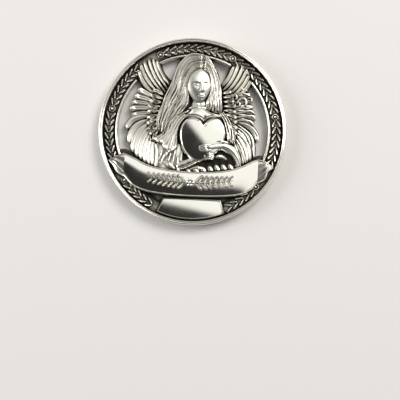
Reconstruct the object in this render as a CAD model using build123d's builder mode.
"""Openwork ball marker: a medal with a winged figure that holds a heart, above a banner and a blank plate.

Millimetres. The marker lies on the XY plane with its face up: +Z is out of the face, +Y is towards the
figure's head, and the origin is at the centre of the back, on the plane that it rests on.
Left and right are those of someone looking at the face.
"""

import os
from math import cos, radians, sin

from build123d import *

# Driving dimensions.
rim_radius = 20.0
rim_width = 0.9
band_width = 2.55
inner_rim_width = 0.5
back_recess = 0.3
thickness = 3.0

rim_inside = rim_radius - rim_width
band_inside = rim_inside - band_width
window_radius = band_inside - inner_rim_width
window_reach = 24.0
band_middle = band_inside + band_width / 2

# Heights above the resting plane. Raised lines and small features stand detail_height above what they lie on.
detail_height = 0.15
web_top = 1.2
band_top = 1.9
inner_rim_top = 2.5
lower_feather_top = 2.0
middle_feather_top = 2.1
primary_top = 2.45
covert_top = 2.75
dress_top = 2.3
bust_top = 2.5
sleeve_top = 2.9
banner_top = 2.85
fold_top = 2.55
sprig_height = 0.2
hair_top = 3.05
face_top = 3.2
forearm_top = 3.2
heart_top = 3.4
hand_top = 3.5

# The border's repeat: one pearl, then pairs of leaves.
repeats = 7
pairs_per_repeat = 9
pearl_radius = 0.42
leaf_length = 1.45
leaf_width = 0.55
ornament_height = 0.4

# Feathers: root, a point that the quill bends towards, tip, and the widest width.
left_primaries = [
    ((-5.3, 9.5), (-7.4, 11.4), (-8.5, 14.9), 1.05),
    ((-5.8, 8.8), (-8.4, 11.5), (-9.4, 15.4), 1.0),
    ((-6.3, 8.2), (-9.2, 11.2), (-10.3, 15.2), 1.0),
    ((-6.9, 7.9), (-10.2, 11.1), (-11.2, 14.7), 1.05),
    ((-7.6, 7.6), (-11.1, 10.7), (-11.9, 13.9), 1.05),
    ((-8.3, 7.4), (-11.7, 9.7), (-12.1, 12.6), 1.15),
]
left_middle_feathers = [
    ((-7.7, 6.6), (-10.6, 7.7), (-12.1, 8.5), 1.35),
    ((-7.9, 5.8), (-11.1, 6.7), (-12.8, 7.0), 1.35),
    ((-8.0, 5.1), (-11.3, 5.7), (-13.3, 5.6), 1.15),
    ((-8.1, 4.4), (-11.4, 4.7), (-13.6, 4.2), 1.3),
    ((-8.3, 3.6), (-11.2, 3.4), (-13.1, 2.9), 1.1),
]
left_lower_feathers = [
    ((-9.0, 2.9), (-13.7, 2.6), (-14.0, -0.2), 1.45),
    ((-9.0, 2.1), (-13.5, 1.0), (-13.3, -3.2), 1.45),
    ((-9.0, 1.4), (-12.5, -0.3), (-12.5, -5.0), 1.45),
    ((-8.9, 0.7), (-11.5, -1.2), (-11.6, -6.0), 1.45),
    ((-8.8, 0.1), (-10.7, -1.9), (-10.7, -6.6), 1.45),
    ((-8.6, -0.6), (-10.0, -2.3), (-9.8, -7.2), 1.45),
    ((-8.3, -1.3), (-9.3, -2.8), (-8.9, -7.7), 1.4),
    ((-8.0, -1.8), (-8.6, -3.2), (-8.1, -7.9), 1.2),
]
left_coverts = [
    ((-6.6, 7.4), (-7.8, 8.2), (-9.0, 8.4), 0.85),
    ((-6.6, 6.5), (-7.9, 7.1), (-9.3, 7.1), 0.85),
    ((-6.8, 5.7), (-8.1, 6.1), (-9.6, 6.0), 0.85),
    ((-7.0, 4.8), (-8.4, 5.1), (-9.9, 4.8), 0.85),
    ((-7.1, 3.9), (-8.5, 4.0), (-9.9, 3.6), 0.85),
    ((-7.2, 3.1), (-8.6, 2.9), (-9.9, 2.3), 0.85),
    ((-7.3, 2.3), (-8.7, 1.9), (-9.9, 1.0), 0.85),
    ((-7.3, 1.5), (-8.6, 0.9), (-9.6, -0.2), 0.85),
    ((-7.3, 0.6), (-8.4, -0.1), (-9.1, -1.3), 0.85),
    ((-7.2, -0.3), (-8.0, -1.0), (-8.4, -2.3), 0.85),
]
right_primaries = [
    ((5.4, 9.7), (7.2, 11.3), (8.0, 14.4), 1.0),
    ((5.9, 9.0), (8.2, 11.2), (9.0, 14.9), 1.05),
    ((6.5, 8.5), (9.1, 10.9), (10.0, 14.6), 1.0),
    ((7.1, 8.1), (10.0, 10.6), (10.8, 13.8), 1.0),
    ((7.8, 7.8), (10.7, 10.1), (11.3, 12.7), 1.05),
    ((8.6, 7.6), (11.3, 9.6), (11.7, 11.5), 1.05),
]
right_middle_feathers = [
    ((7.2, 6.9), (10.4, 8.6), (11.9, 8.4), 1.35),
    ((7.4, 6.1), (10.7, 7.4), (12.2, 7.0), 1.35),
    ((7.6, 5.4), (11.0, 6.1), (12.6, 5.7), 1.3),
    ((7.7, 4.7), (11.2, 5.1), (13.1, 4.4), 1.25),
    ((7.9, 4.0), (11.3, 4.1), (13.2, 3.3), 1.2),
    ((8.1, 3.3), (11.2, 3.2), (13.0, 2.2), 1.15),
]
right_lower_feathers = [
    ((8.6, 2.6), (13.4, 2.2), (13.7, -1.4), 1.45),
    ((8.7, 1.9), (12.9, 0.3), (13.2, -4.8), 1.35),
    ((8.8, 1.1), (12.1, -0.8), (12.5, -5.6), 1.3),
    ((8.8, 0.2), (11.2, -1.8), (11.8, -6.1), 1.25),
    ((8.8, -0.8), (10.3, -2.8), (11.0, -6.6), 1.2),
    ((8.8, -1.8), (9.7, -3.6), (10.3, -7.1), 1.1),
]
right_coverts = [
    ((5.9, 8.3), (6.8, 8.8), (7.9, 8.8), 0.85),
    ((6.0, 7.4), (7.1, 7.9), (8.3, 7.8), 0.85),
    ((6.1, 6.5), (7.3, 6.9), (8.6, 6.8), 0.85),
    ((6.2, 5.6), (7.5, 5.9), (8.9, 5.7), 0.85),
    ((6.3, 4.7), (7.7, 4.9), (9.1, 4.5), 0.85),
    ((6.5, 3.9), (7.9, 3.9), (9.3, 3.3), 0.85),
    ((6.8, 3.1), (8.1, 2.9), (9.4, 2.2), 0.85),
    ((7.2, 2.3), (8.4, 1.9), (9.5, 0.9), 0.85),
    ((7.6, 1.5), (8.6, 0.9), (9.4, -0.4), 0.85),
]

# Shapes between two long edges: the outer edge first, then the inner one, both from the same end.
left_hair = (
    [(1.7, 16.4), (-1.6, 16.3), (-3.9, 13.6), (-4.9, 10.2), (-6.7, 6.0), (-7.7, 2.0), (-7.5, -1.0)],
    [(1.9, 13.8), (0.1, 13.4), (-1.2, 11.3), (-1.8, 8.2), (-1.6, 5.4), (-3.5, 3.0), (-5.6, -0.8)],
)
right_hair = (
    [(1.7, 16.4), (3.5, 14.5), (4.7, 11.6), (5.4, 8.6), (5.8, 5.6), (5.4, 4.3)],
    [(1.9, 13.8), (3.1, 12.9), (3.7, 11.0), (3.6, 8.6), (2.5, 6.2), (2.4, 4.9)],
)
left_sleeve_edges = (
    [(-2.3, 3.8), (-3.7, 3.3), (-4.6, 2.0), (-5.4, 0.4), (-6.6, -1.1), (-8.7, -2.2)],
    [(-1.4, 3.0), (-2.2, 2.2), (-2.8, 1.0), (-3.1, -0.6), (-3.2, -1.9), (-3.1, -3.2)],
)
left_sleeve_tip = (-4.7, -4.4)
right_sleeve_edges = (
    [(6.3, 4.3), (7.6, 2.6), (8.5, 0.6), (8.9, -1.4), (9.5, -3.4), (10.3, -6.8)],
    [(5.3, 3.6), (6.4, 2.2), (7.0, 0.0), (7.1, -1.6), (7.8, -3.0), (9.4, -6.9)],
)
banner_edges = (
    [(-14.2, -5.4), (-12.0, -6.1), (-9.5, -7.5), (-6.0, -8.3), (-1.0, -8.8),
     (4.0, -8.6), (8.0, -8.0), (11.0, -6.9), (13.2, -5.6), (14.2, -5.3)],
    [(-14.2, -10.3), (-12.2, -12.0), (-9.5, -13.3), (-6.0, -13.8), (-1.0, -14.0),
     (4.0, -13.9), (8.0, -13.6), (11.0, -13.0), (13.2, -11.6), (14.2, -10.4)],
)
left_banner_tail = [(-14.2, -5.4), (-15.3, -6.0), (-17.4, -7.1), (-16.1, -8.2), (-15.9, -9.9), (-14.2, -10.3)]
right_banner_tail = [(14.2, -5.3), (15.6, -5.7), (17.5, -7.0), (16.3, -8.1), (15.9, -9.5), (14.2, -10.4)]

# Closed outlines that start and end at a corner.
heart_outline = [
    (2.2, 1.5), (1.4, 2.5), (-0.3, 3.1), (-2.0, 2.3), (-2.75, 0.3), (-2.5, -2.6), (-1.4, -5.0), (1.0, -6.6),
    (3.6, -5.8), (5.8, -3.8), (7.0, -1.2), (6.8, 1.2), (5.9, 2.8), (4.5, 3.15), (3.1, 2.5), (2.2, 1.5),
]
heart_middle = (2.2, -1.2)
heart_dome = 18.0
bust_outline = [
    (-3.0, 4.2), (-1.2, 4.8), (1.0, 5.2), (3.4, 4.9), (5.6, 4.6), (6.6, 3.4), (7.2, 1.0), (6.0, -2.0),
    (2.0, -4.0), (-2.0, -2.5), (-3.2, 1.0), (-3.0, 4.2),
]
dress_outline = [
    (-7.2, -2.4), (-7.8, -5.0), (-8.1, -8.3), (-4.0, -9.1), (0.0, -9.3), (5.0, -9.1), (10.2, -7.8),
    (10.0, -6.0), (8.6, -3.6), (5.0, -2.6), (0.0, -3.0), (-3.0, -2.6), (-7.2, -2.4),
]
face_centre = (1.1, 10.1)
face_radii = (2.9, 3.9)
face_tilt = 8.0
face_dome = 9.0
neck_edges = ([(-0.6, 7.4), (-0.5, 5.6), (-1.2, 4.2)], [(2.7, 6.9), (2.5, 5.4), (3.0, 4.2)])

# The face's features, as shares of its radii from its centre: middle line points and the width in mm.
face_features_shares = [
    ((-0.62, 0.14), (-0.38, 0.27), (-0.12, 0.12), 0.28),
    ((0.14, 0.12), (0.38, 0.27), (0.62, 0.14), 0.28),
    ((-0.56, -0.02), (-0.36, 0.07), (-0.16, -0.03), 0.34),
    ((0.18, -0.03), (0.38, 0.07), (0.58, -0.02), 0.34),
    ((0.0, 0.16), (0.02, -0.1), (0.02, -0.4), 0.62),
    ((-0.26, -0.58), (0.02, -0.5), (0.3, -0.58), 0.26),
    ((-0.2, -0.64), (0.02, -0.76), (0.24, -0.64), 0.3),
]

# Limbs: the middle line and the width at each end.
left_forearm_line = [(-2.9, -7.7), (-0.4, -6.7), (1.8, -5.2)]
left_forearm_widths = (2.6, 1.7)
left_hand_line = [(1.6, -5.3), (3.2, -4.9), (4.9, -5.1)]
left_hand_widths = (1.7, 0.9)
right_forearm_line = [(9.9, -6.6), (7.9, -3.6), (4.4, -2.8)]
right_forearm_widths = (1.0, 1.5)
right_hand_line = [(4.5, -2.9), (2.9, -3.3), (1.3, -4.1)]
right_hand_widths = (1.6, 0.9)
cuff_line = [(2.9, -1.75), (5.2, -1.6), (7.3, -2.0)]
cuff_widths = (0.3, 0.6)
right_fingers = [
    [(3.9, -2.75), (2.5, -2.85), (1.1, -3.3)],
    [(3.8, -3.15), (2.4, -3.3), (0.9, -3.85)],
    [(3.7, -3.55), (2.5, -3.75), (1.2, -4.3)],
]
left_fingers = [
    [(2.3, -4.75), (3.5, -4.45), (4.8, -4.6)],
    [(2.3, -5.15), (3.5, -4.85), (5.1, -5.05)],
    [(2.3, -5.55), (3.5, -5.3), (4.9, -5.5)],
]
finger_widths = (0.34, 0.24)

# The blank plate below the banner: straight sides that run out past the foot, which follows the rim.
plate_corners = [(-5.5, -14.4), (6.7, -14.4), (8.4, -20.0), (-8.0, -20.0)]
plate_foot_radius = 18.8
plate_frame_width = 0.35
plate_height = 2.3
plate_frame_height = 2.55

# The four windows that go right through, each along the figure's side between the ends of its outer arc.
left_window = [(-12.3, 10.2), (-11.5, 9.3), (-11.9, 7.4), (-12.4, 5.4), (-12.4, 3.2), (-11.9, 2.4),
               (-12.6, 0.6), (-12.3, -1.6), (-12.0, -3.6), (-11.9, -5.1), (-13.6, -4.6), (-15.3, -4.6)]
right_window = [(12.3, 10.2), (11.2, 9.6), (11.3, 7.4), (11.9, 5.6), (12.1, 3.4), (11.9, 2.3),
                (12.6, 0.4), (12.4, -1.6), (12.2, -3.6), (12.4, -4.9), (13.8, -4.5), (15.3, -4.6)]
upper_left_window = [(-7.3, 14.3), (-6.9, 12.9), (-6.1, 11.7), (-5.0, 10.9), (-4.6, 12.2), (-4.2, 13.7),
                     (-3.6, 15.6)]
upper_right_window = [(7.0, 14.4), (6.6, 12.6), (6.1, 11.4), (5.4, 10.5), (5.1, 12.0), (4.4, 13.6),
                      (3.5, 15.6)]


def ring(outer, inner):
    """A flat ring."""
    with BuildSketch() as outline:
        Circle(outer)
        Circle(inner, mode=Mode.SUBTRACT)
    return outline.sketch


def quill_point(root, bend, tip, t):
    """The point at t, from 0 to 1, of a quadratic curve, and its unit normal."""
    x, y = ((1 - t) ** 2 * a + 2 * t * (1 - t) * b + t * t * c for a, b, c in zip(root, bend, tip))
    dx, dy = (2 * (1 - t) * (b - a) + 2 * t * (c - b) for a, b, c in zip(root, bend, tip))
    length = (dx * dx + dy * dy) ** 0.5
    return (x, y), (-dy / length, dx / length)


def feather(root, bend, tip, width):
    """One feather's outline: narrow at the root, with a rounded tip."""
    stations = [(0.0, 0.45), (0.4, 0.85), (0.75, 1.0), (0.94, 0.7)]
    sides = {1: [], -1: []}
    for side, points in sides.items():
        for t, share in stations:
            (x, y), (nx, ny) = quill_point(root, bend, tip, t)
            points.append((x + side * nx * width / 2 * share, y + side * ny * width / 2 * share))
    with BuildSketch() as outline:
        with BuildLine():
            Spline(*sides[1], tip, *reversed(sides[-1]))
            Line(sides[-1][0], sides[1][0])
        make_face()
    return outline.sketch


def limb(middle_line, widths):
    """A tapering limb's outline, with a rounded far end."""
    root, bend, tip = middle_line
    control = tuple(2 * b - (a + c) / 2 for a, b, c in zip(root, bend, tip))
    sides = {1: [], -1: []}
    for side, points in sides.items():
        for t in (0.0, 0.5, 1.0):
            half = (widths[0] * (1 - t) + widths[1] * t) / 2
            (x, y), (nx, ny) = quill_point(root, control, tip, t)
            points.append((x + side * nx * half, y + side * ny * half))
    with BuildSketch() as outline:
        with BuildLine():
            Spline(*sides[1])
            Line(sides[1][-1], sides[-1][-1])
            Spline(*sides[-1])
            Line(sides[1][0], sides[-1][0])
        make_face()
        with Locations(tip):
            Circle(widths[1] / 2)
    return outline.sketch


def between(edges, end_point=None):
    """The outline between two long edges. end_point makes the far end pointed."""
    outer, inner = edges
    with BuildSketch() as outline:
        with BuildLine():
            Spline(*outer)
            if end_point:
                Polyline(outer[-1], end_point, inner[-1])
            else:
                Line(outer[-1], inner[-1])
            Spline(*inner)
            Line(inner[0], outer[0])
        make_face()
    return outline.sketch


def strip(edges, start, end):
    """A strip between two edges. start and end are shares of the way across at its two sides."""
    strip_edges = []
    for share in (start, end):
        strip_edges.append([
            (a[0] + share * (b[0] - a[0]), a[1] + share * (b[1] - a[1])) for a, b in zip(*edges)
        ])
    return between(strip_edges)


def closed(points):
    """A smooth outline with one corner, at its first point."""
    with BuildSketch() as outline:
        with BuildLine():
            Spline(*points)
        make_face()
    return outline.sketch


def straight_sided(corners):
    """An outline with straight sides."""
    with BuildSketch() as outline:
        with BuildLine():
            Polyline(*corners, close=True)
        make_face()
    return outline.sketch


def window(side):
    """One window's outline: the figure's side, closed well outside the ring's inner wall."""
    ends = []
    for x, y in (side[0], side[-1]):
        reach = window_reach / (x * x + y * y) ** 0.5
        ends.append((x * reach, y * reach))
    with BuildSketch() as outline:
        with BuildLine():
            Spline(*side)
            Polyline(side[-1], ends[-1], ends[0], side[0])
        make_face()
    return outline.sketch


def all_feathers(feathers):
    """The outlines of a group of feathers, joined."""
    with BuildSketch() as outline:
        for shape in feathers:
            add(feather(*shape))
    return outline.sketch


def behind(*fronts):
    """Takes what lies in front out of the sketch in progress, so that the two meet face to face."""
    for front in fronts:
        add(front, mode=Mode.SUBTRACT)


def feather_layers(feathers, fronts, top, step):
    """Raises a group of feathers in the part in progress; every second one stands a step lower."""
    for chosen, height in ((feathers, top - step), (feathers[::2], top)):
        with BuildSketch(Plane.XY.offset(web_top)) as layer:
            add(all_feathers(chosen))
            behind(*fronts)
        extrude(layer.sketch, amount=height - web_top)


# Outlines, seen from above. Each is cut later by the ones in front of it.
right_hand_shape = limb(right_hand_line, right_hand_widths)
right_forearm_shape = limb(right_forearm_line, right_forearm_widths)
left_hand_shape = limb(left_hand_line, left_hand_widths)
left_forearm_shape = limb(left_forearm_line, left_forearm_widths)
cuff_shape = limb(cuff_line, cuff_widths)
heart_shape = closed(heart_outline)
left_hair_shape = between(left_hair)
right_hair_shape = between(right_hair)
neck_shape = between(neck_edges)
left_sleeve_shape = between(left_sleeve_edges, left_sleeve_tip)
right_sleeve_shape = between(right_sleeve_edges)
bust_shape = closed(bust_outline)
dress_shape = closed(dress_outline)
banner_shape = between(banner_edges)
left_fold_shape = straight_sided(left_banner_tail)
right_fold_shape = straight_sided(right_banner_tail)
left_covert_shape = all_feathers(left_coverts)
right_covert_shape = all_feathers(right_coverts)
left_primary_shape = all_feathers(left_primaries)
right_primary_shape = all_feathers(right_primaries)
left_middle_shape = all_feathers(left_middle_feathers)
right_middle_shape = all_feathers(right_middle_feathers)
left_lower_shape = all_feathers(left_lower_feathers)
right_lower_shape = all_feathers(right_lower_feathers)

with BuildSketch() as face_outline:
    with Locations(Location((*face_centre, 0), (0, 0, face_tilt))):
        Ellipse(*face_radii)
face_shape = face_outline.sketch

with BuildSketch() as plate_outline:
    add(straight_sided(plate_corners))
    Circle(plate_foot_radius, mode=Mode.INTERSECT)
plate_shape = plate_outline.sketch

with BuildSketch() as panel_outline:
    add(plate_shape)
    offset(amount=-plate_frame_width, kind=Kind.INTERSECTION, mode=Mode.REPLACE)
panel_shape = panel_outline.sketch

arms = (right_hand_shape, right_forearm_shape, left_hand_shape, left_forearm_shape, cuff_shape)
hair = (left_hair_shape, right_hair_shape)
sleeves = (left_sleeve_shape, right_sleeve_shape)
ribbon = (banner_shape, left_fold_shape, right_fold_shape)
figure = (heart_shape, bust_shape, dress_shape, *sleeves, *hair, *arms)
feather_shapes = (
    left_primary_shape, right_primary_shape, left_middle_shape, right_middle_shape,
    left_lower_shape, right_lower_shape,
)
over_the_ring = (left_primary_shape, right_primary_shape, *hair, *ribbon, plate_shape)

# The ring.
with BuildPart() as outer_rim:
    with BuildSketch():
        add(ring(rim_radius, rim_inside))
    extrude(amount=thickness)
    circles = outer_rim.edges().filter_by(GeomType.CIRCLE)
    fillet(circles.filter_by(lambda e: e.radius > rim_radius - 0.01), 0.4)
    with BuildSketch(Plane.XY.offset(thickness)):
        add(ring(rim_inside + 0.42, rim_inside + 0.34))
    extrude(amount=-0.1, mode=Mode.SUBTRACT)

with BuildPart() as border_band:
    with BuildSketch(Plane.XY.offset(back_recess)):
        add(ring(rim_inside, band_inside))
    extrude(amount=band_top - back_recess)

with BuildPart() as inner_rim:
    with BuildSketch(Plane.XY.offset(web_top)):
        add(ring(band_inside, window_radius))
        behind(*over_the_ring)
    extrude(amount=inner_rim_top - web_top)

with BuildPart() as border_leaves:
    pitch = 360 / repeats / (pairs_per_repeat + 1)
    sweep_angle = leaf_length / band_middle
    with BuildSketch(Plane.XY.offset(band_top)):
        for number in range(repeats * (pairs_per_repeat + 1)):
            if number % (pairs_per_repeat + 1) == 0:
                continue
            turn = radians(90 - 360 / repeats / 2 - (number - 0.45) * pitch)
            for lean in (-1, 1):
                near, far = band_middle + 0.1 * lean, band_middle + 0.75 * lean
                add(feather(
                    (near * cos(turn), near * sin(turn)),
                    (near * cos(turn - sweep_angle / 2), near * sin(turn - sweep_angle / 2)),
                    (far * cos(turn - sweep_angle), far * sin(turn - sweep_angle)),
                    leaf_width,
                ))
        behind(*over_the_ring)
    extrude(amount=ornament_height)

with BuildPart() as border_pearls:
    with BuildSketch(Plane.XY.offset(band_top)):
        with PolarLocations(band_middle, repeats, start_angle=90 - 360 / repeats / 2):
            Circle(pearl_radius)
        behind(*over_the_ring)
    extrude(amount=ornament_height + 0.1)

# The web that carries the relief, with its four windows.
with BuildPart() as openwork_web:
    with BuildSketch(Plane.XY.offset(back_recess)):
        Circle(band_inside)
        for side in (left_window, right_window, upper_left_window, upper_right_window):
            with BuildSketch(mode=Mode.PRIVATE) as hole:
                add(window(side))
                Circle(window_radius, mode=Mode.INTERSECT)
                behind(*feather_shapes)
            add(hole.sketch, mode=Mode.SUBTRACT)
    extrude(amount=web_top - back_recess)

# The wings.
with BuildPart() as left_wing_coverts:
    feather_layers(left_coverts, figure, covert_top, 0.12)

with BuildPart() as left_wing_primaries:
    feather_layers(left_primaries, (left_covert_shape, left_hair_shape), primary_top, 0.15)
    add(border_band.part, mode=Mode.SUBTRACT)

with BuildPart() as left_wing_middle:
    fronts = (left_covert_shape, left_primary_shape, left_hair_shape)
    feather_layers(left_middle_feathers, fronts, middle_feather_top, 0.15)

with BuildPart() as left_wing_lower:
    fronts = (left_covert_shape, left_middle_shape, *figure, *ribbon)
    feather_layers(left_lower_feathers, fronts, lower_feather_top, 0.15)

with BuildPart() as right_wing_coverts:
    feather_layers(right_coverts, figure, covert_top, 0.12)

with BuildPart() as right_wing_primaries:
    feather_layers(right_primaries, (right_covert_shape, right_hair_shape), primary_top, 0.15)
    add(border_band.part, mode=Mode.SUBTRACT)

with BuildPart() as right_wing_middle:
    fronts = (right_covert_shape, right_primary_shape, right_hair_shape)
    feather_layers(right_middle_feathers, fronts, middle_feather_top, 0.15)

with BuildPart() as right_wing_lower:
    fronts = (right_covert_shape, right_middle_shape, *figure, *ribbon)
    feather_layers(right_lower_feathers, fronts, lower_feather_top, 0.15)

# The figure.
with BuildPart() as left_hair_lock:
    with BuildSketch(Plane.XY.offset(web_top)):
        add(left_hair_shape)
        behind(heart_shape)
    extrude(amount=hair_top - web_top)
    with BuildSketch(Plane.XY.offset(hair_top)):
        for number in range(7):
            add(strip(left_hair, 0.08 + 0.13 * number, 0.14 + 0.13 * number))
        behind(heart_shape)
    extrude(amount=detail_height)
    add(border_band.part, mode=Mode.SUBTRACT)

with BuildPart() as right_hair_lock:
    with BuildSketch(Plane.XY.offset(web_top)):
        add(right_hair_shape)
        behind(left_hair_shape)
    extrude(amount=hair_top - web_top)
    with BuildSketch(Plane.XY.offset(hair_top)):
        for number in range(4):
            add(strip(right_hair, 0.12 + 0.22 * number, 0.22 + 0.22 * number))
        behind(left_hair_shape)
    extrude(amount=detail_height)

with BuildPart() as face_features:
    with BuildSketch(Plane.XY.offset(web_top)):
        with Locations(Location((*face_centre, 0), (0, 0, face_tilt))):
            for *points, width in face_features_shares:
                scaled = [(x * face_radii[0], y * face_radii[1]) for x, y in points]
                add(feather(*scaled, width))
    extrude(amount=hand_top - web_top)
    with Locations((*face_centre, face_top - face_dome)):
        Sphere(face_dome + detail_height, mode=Mode.INTERSECT)

with BuildPart() as face:
    with BuildSketch(Plane.XY.offset(web_top)):
        add(face_shape)
        behind(*hair)
    extrude(amount=face_top - web_top)
    with Locations((*face_centre, face_top - face_dome)):
        Sphere(face_dome, mode=Mode.INTERSECT)
    add(face_features.part)

with BuildPart() as neck:
    with BuildSketch(Plane.XY.offset(web_top)):
        add(neck_shape)
        behind(face_shape, *hair)
    extrude(amount=bust_top - web_top)

with BuildPart() as bust:
    with BuildSketch(Plane.XY.offset(web_top)):
        add(bust_shape)
        behind(neck_shape, face_shape, heart_shape, *hair, *sleeves, *arms)
    extrude(amount=bust_top - web_top)

with BuildPart() as left_sleeve:
    with BuildSketch(Plane.XY.offset(web_top)):
        add(left_sleeve_shape)
        behind(heart_shape, left_hair_shape)
    extrude(amount=sleeve_top - web_top)
    with BuildSketch(Plane.XY.offset(sleeve_top)):
        for start in (0.1, 0.35, 0.6, 0.82):
            add(strip(left_sleeve_edges, start, start + 0.08))
        behind(heart_shape, left_hair_shape)
    extrude(amount=detail_height)

with BuildPart() as right_sleeve:
    with BuildSketch(Plane.XY.offset(web_top)):
        add(right_sleeve_shape)
        behind(heart_shape, right_hair_shape, right_forearm_shape, cuff_shape)
    extrude(amount=sleeve_top - web_top)
    with BuildSketch(Plane.XY.offset(sleeve_top)):
        for start in (0.2, 0.6):
            add(strip(right_sleeve_edges, start, start + 0.18))
        behind(heart_shape, right_hair_shape, right_forearm_shape, cuff_shape)
    extrude(amount=detail_height)

with BuildPart() as heart:
    with BuildSketch(Plane.XY.offset(web_top)):
        add(heart_shape)
        behind(*arms)
    extrude(amount=heart_top - web_top)
    with Locations((*heart_middle, heart_top - heart_dome)):
        Sphere(heart_dome, mode=Mode.INTERSECT)

with BuildPart() as right_hand:
    with BuildSketch(Plane.XY.offset(web_top)):
        add(right_hand_shape)
    extrude(amount=hand_top - detail_height - web_top)
    with BuildSketch(Plane.XY.offset(hand_top - detail_height)):
        for finger in right_fingers:
            add(limb(finger, finger_widths))
        add(right_hand_shape, mode=Mode.INTERSECT)
    extrude(amount=detail_height)

with BuildPart() as right_forearm:
    with BuildSketch(Plane.XY.offset(web_top)):
        add(right_forearm_shape)
        behind(right_hand_shape)
    extrude(amount=forearm_top - web_top)

with BuildPart() as left_hand:
    with BuildSketch(Plane.XY.offset(web_top)):
        add(left_hand_shape)
        behind(right_hand_shape, right_forearm_shape)
    extrude(amount=forearm_top - web_top)
    with BuildSketch(Plane.XY.offset(forearm_top)):
        for finger in left_fingers:
            add(limb(finger, finger_widths))
        add(left_hand_shape, mode=Mode.INTERSECT)
        behind(right_hand_shape, right_forearm_shape)
    extrude(amount=detail_height)

with BuildPart() as left_forearm:
    with BuildSketch(Plane.XY.offset(web_top)):
        add(left_forearm_shape)
        behind(right_hand_shape, right_forearm_shape, left_hand_shape)
        behind(*ribbon)
    extrude(amount=sleeve_top - web_top)

with BuildPart() as cuff:
    with BuildSketch(Plane.XY.offset(web_top)):
        add(cuff_shape)
        behind(right_hand_shape, right_forearm_shape)
    extrude(amount=forearm_top - web_top)

with BuildPart() as dress:
    with BuildSketch(Plane.XY.offset(web_top)):
        add(dress_shape)
        behind(heart_shape, bust_shape, *sleeves, *arms, *ribbon)
    extrude(amount=dress_top - web_top)

# The banner and the blank plate stand in front of the skirt and the border.
with BuildPart() as banner:
    with BuildSketch(Plane.XY.offset(web_top)):
        add(banner_shape)
    extrude(amount=banner_top - web_top)
    add(border_band.part, mode=Mode.SUBTRACT)

with BuildPart() as banner_lines:
    with BuildSketch(Plane.XY.offset(banner_top)):
        add(strip(banner_edges, 0.0, 0.05))
        add(strip(banner_edges, 0.95, 1.0))
    extrude(amount=detail_height)

with BuildPart() as left_banner_fold:
    with BuildSketch(Plane.XY.offset(web_top)):
        add(left_fold_shape)
        behind(banner_shape)
    extrude(amount=fold_top - web_top)
    add(border_band.part, mode=Mode.SUBTRACT)

with BuildPart() as right_banner_fold:
    with BuildSketch(Plane.XY.offset(web_top)):
        add(right_fold_shape)
        behind(banner_shape)
    extrude(amount=fold_top - web_top)
    add(border_band.part, mode=Mode.SUBTRACT)

with BuildPart() as banner_sprig:
    with BuildSketch(Plane.XY.offset(banner_top)):
        for side in (-1, 1):
            for number in range(7):
                x = side * (1.4 + 1.05 * number)
                y = -11.3 + 0.009 * x * x
                for lean in (-1, 1):
                    root = (x, y + 0.06 * lean)
                    bend = (x + 0.5 * side, y + 0.35 * lean)
                    tip = (x + 1.0 * side, y + 1.0 * lean)
                    add(feather(root, bend, tip, 0.5))
    extrude(amount=sprig_height)

with BuildPart() as name_plate:
    with BuildSketch(Plane.XY.offset(web_top)):
        add(panel_shape)
        behind(banner_shape)
    extrude(amount=plate_height - web_top)
    add(border_band.part, mode=Mode.SUBTRACT)

with BuildPart() as plate_frame:
    with BuildSketch(Plane.XY.offset(web_top)):
        add(plate_shape)
        behind(panel_shape, banner_shape)
    extrude(amount=plate_frame_height - web_top)
    add(border_band.part, mode=Mode.SUBTRACT)

pieces = {
    "outer_rim": outer_rim,
    "border_band": border_band,
    "inner_rim": inner_rim,
    "border_leaves": border_leaves,
    "border_pearls": border_pearls,
    "openwork_web": openwork_web,
    "left_wing_primaries": left_wing_primaries,
    "left_wing_middle": left_wing_middle,
    "left_wing_lower": left_wing_lower,
    "left_wing_coverts": left_wing_coverts,
    "right_wing_primaries": right_wing_primaries,
    "right_wing_middle": right_wing_middle,
    "right_wing_lower": right_wing_lower,
    "right_wing_coverts": right_wing_coverts,
    "left_hair_lock": left_hair_lock,
    "right_hair_lock": right_hair_lock,
    "face": face,
    "neck": neck,
    "bust": bust,
    "dress": dress,
    "heart": heart,
    "left_sleeve": left_sleeve,
    "left_forearm": left_forearm,
    "left_hand": left_hand,
    "right_sleeve": right_sleeve,
    "right_forearm": right_forearm,
    "right_hand": right_hand,
    "cuff": cuff,
    "banner": banner,
    "banner_lines": banner_lines,
    "banner_sprig": banner_sprig,
    "left_banner_fold": left_banner_fold,
    "right_banner_fold": right_banner_fold,
    "name_plate": name_plate,
    "plate_frame": plate_frame,
}

os.makedirs("parts", exist_ok=True)
for name, piece in pieces.items():
    piece.part.label = name
    export_step(piece.part, f"parts/{name}.step")
    print(name, len(piece.part.solids()), round(piece.part.volume, 2))
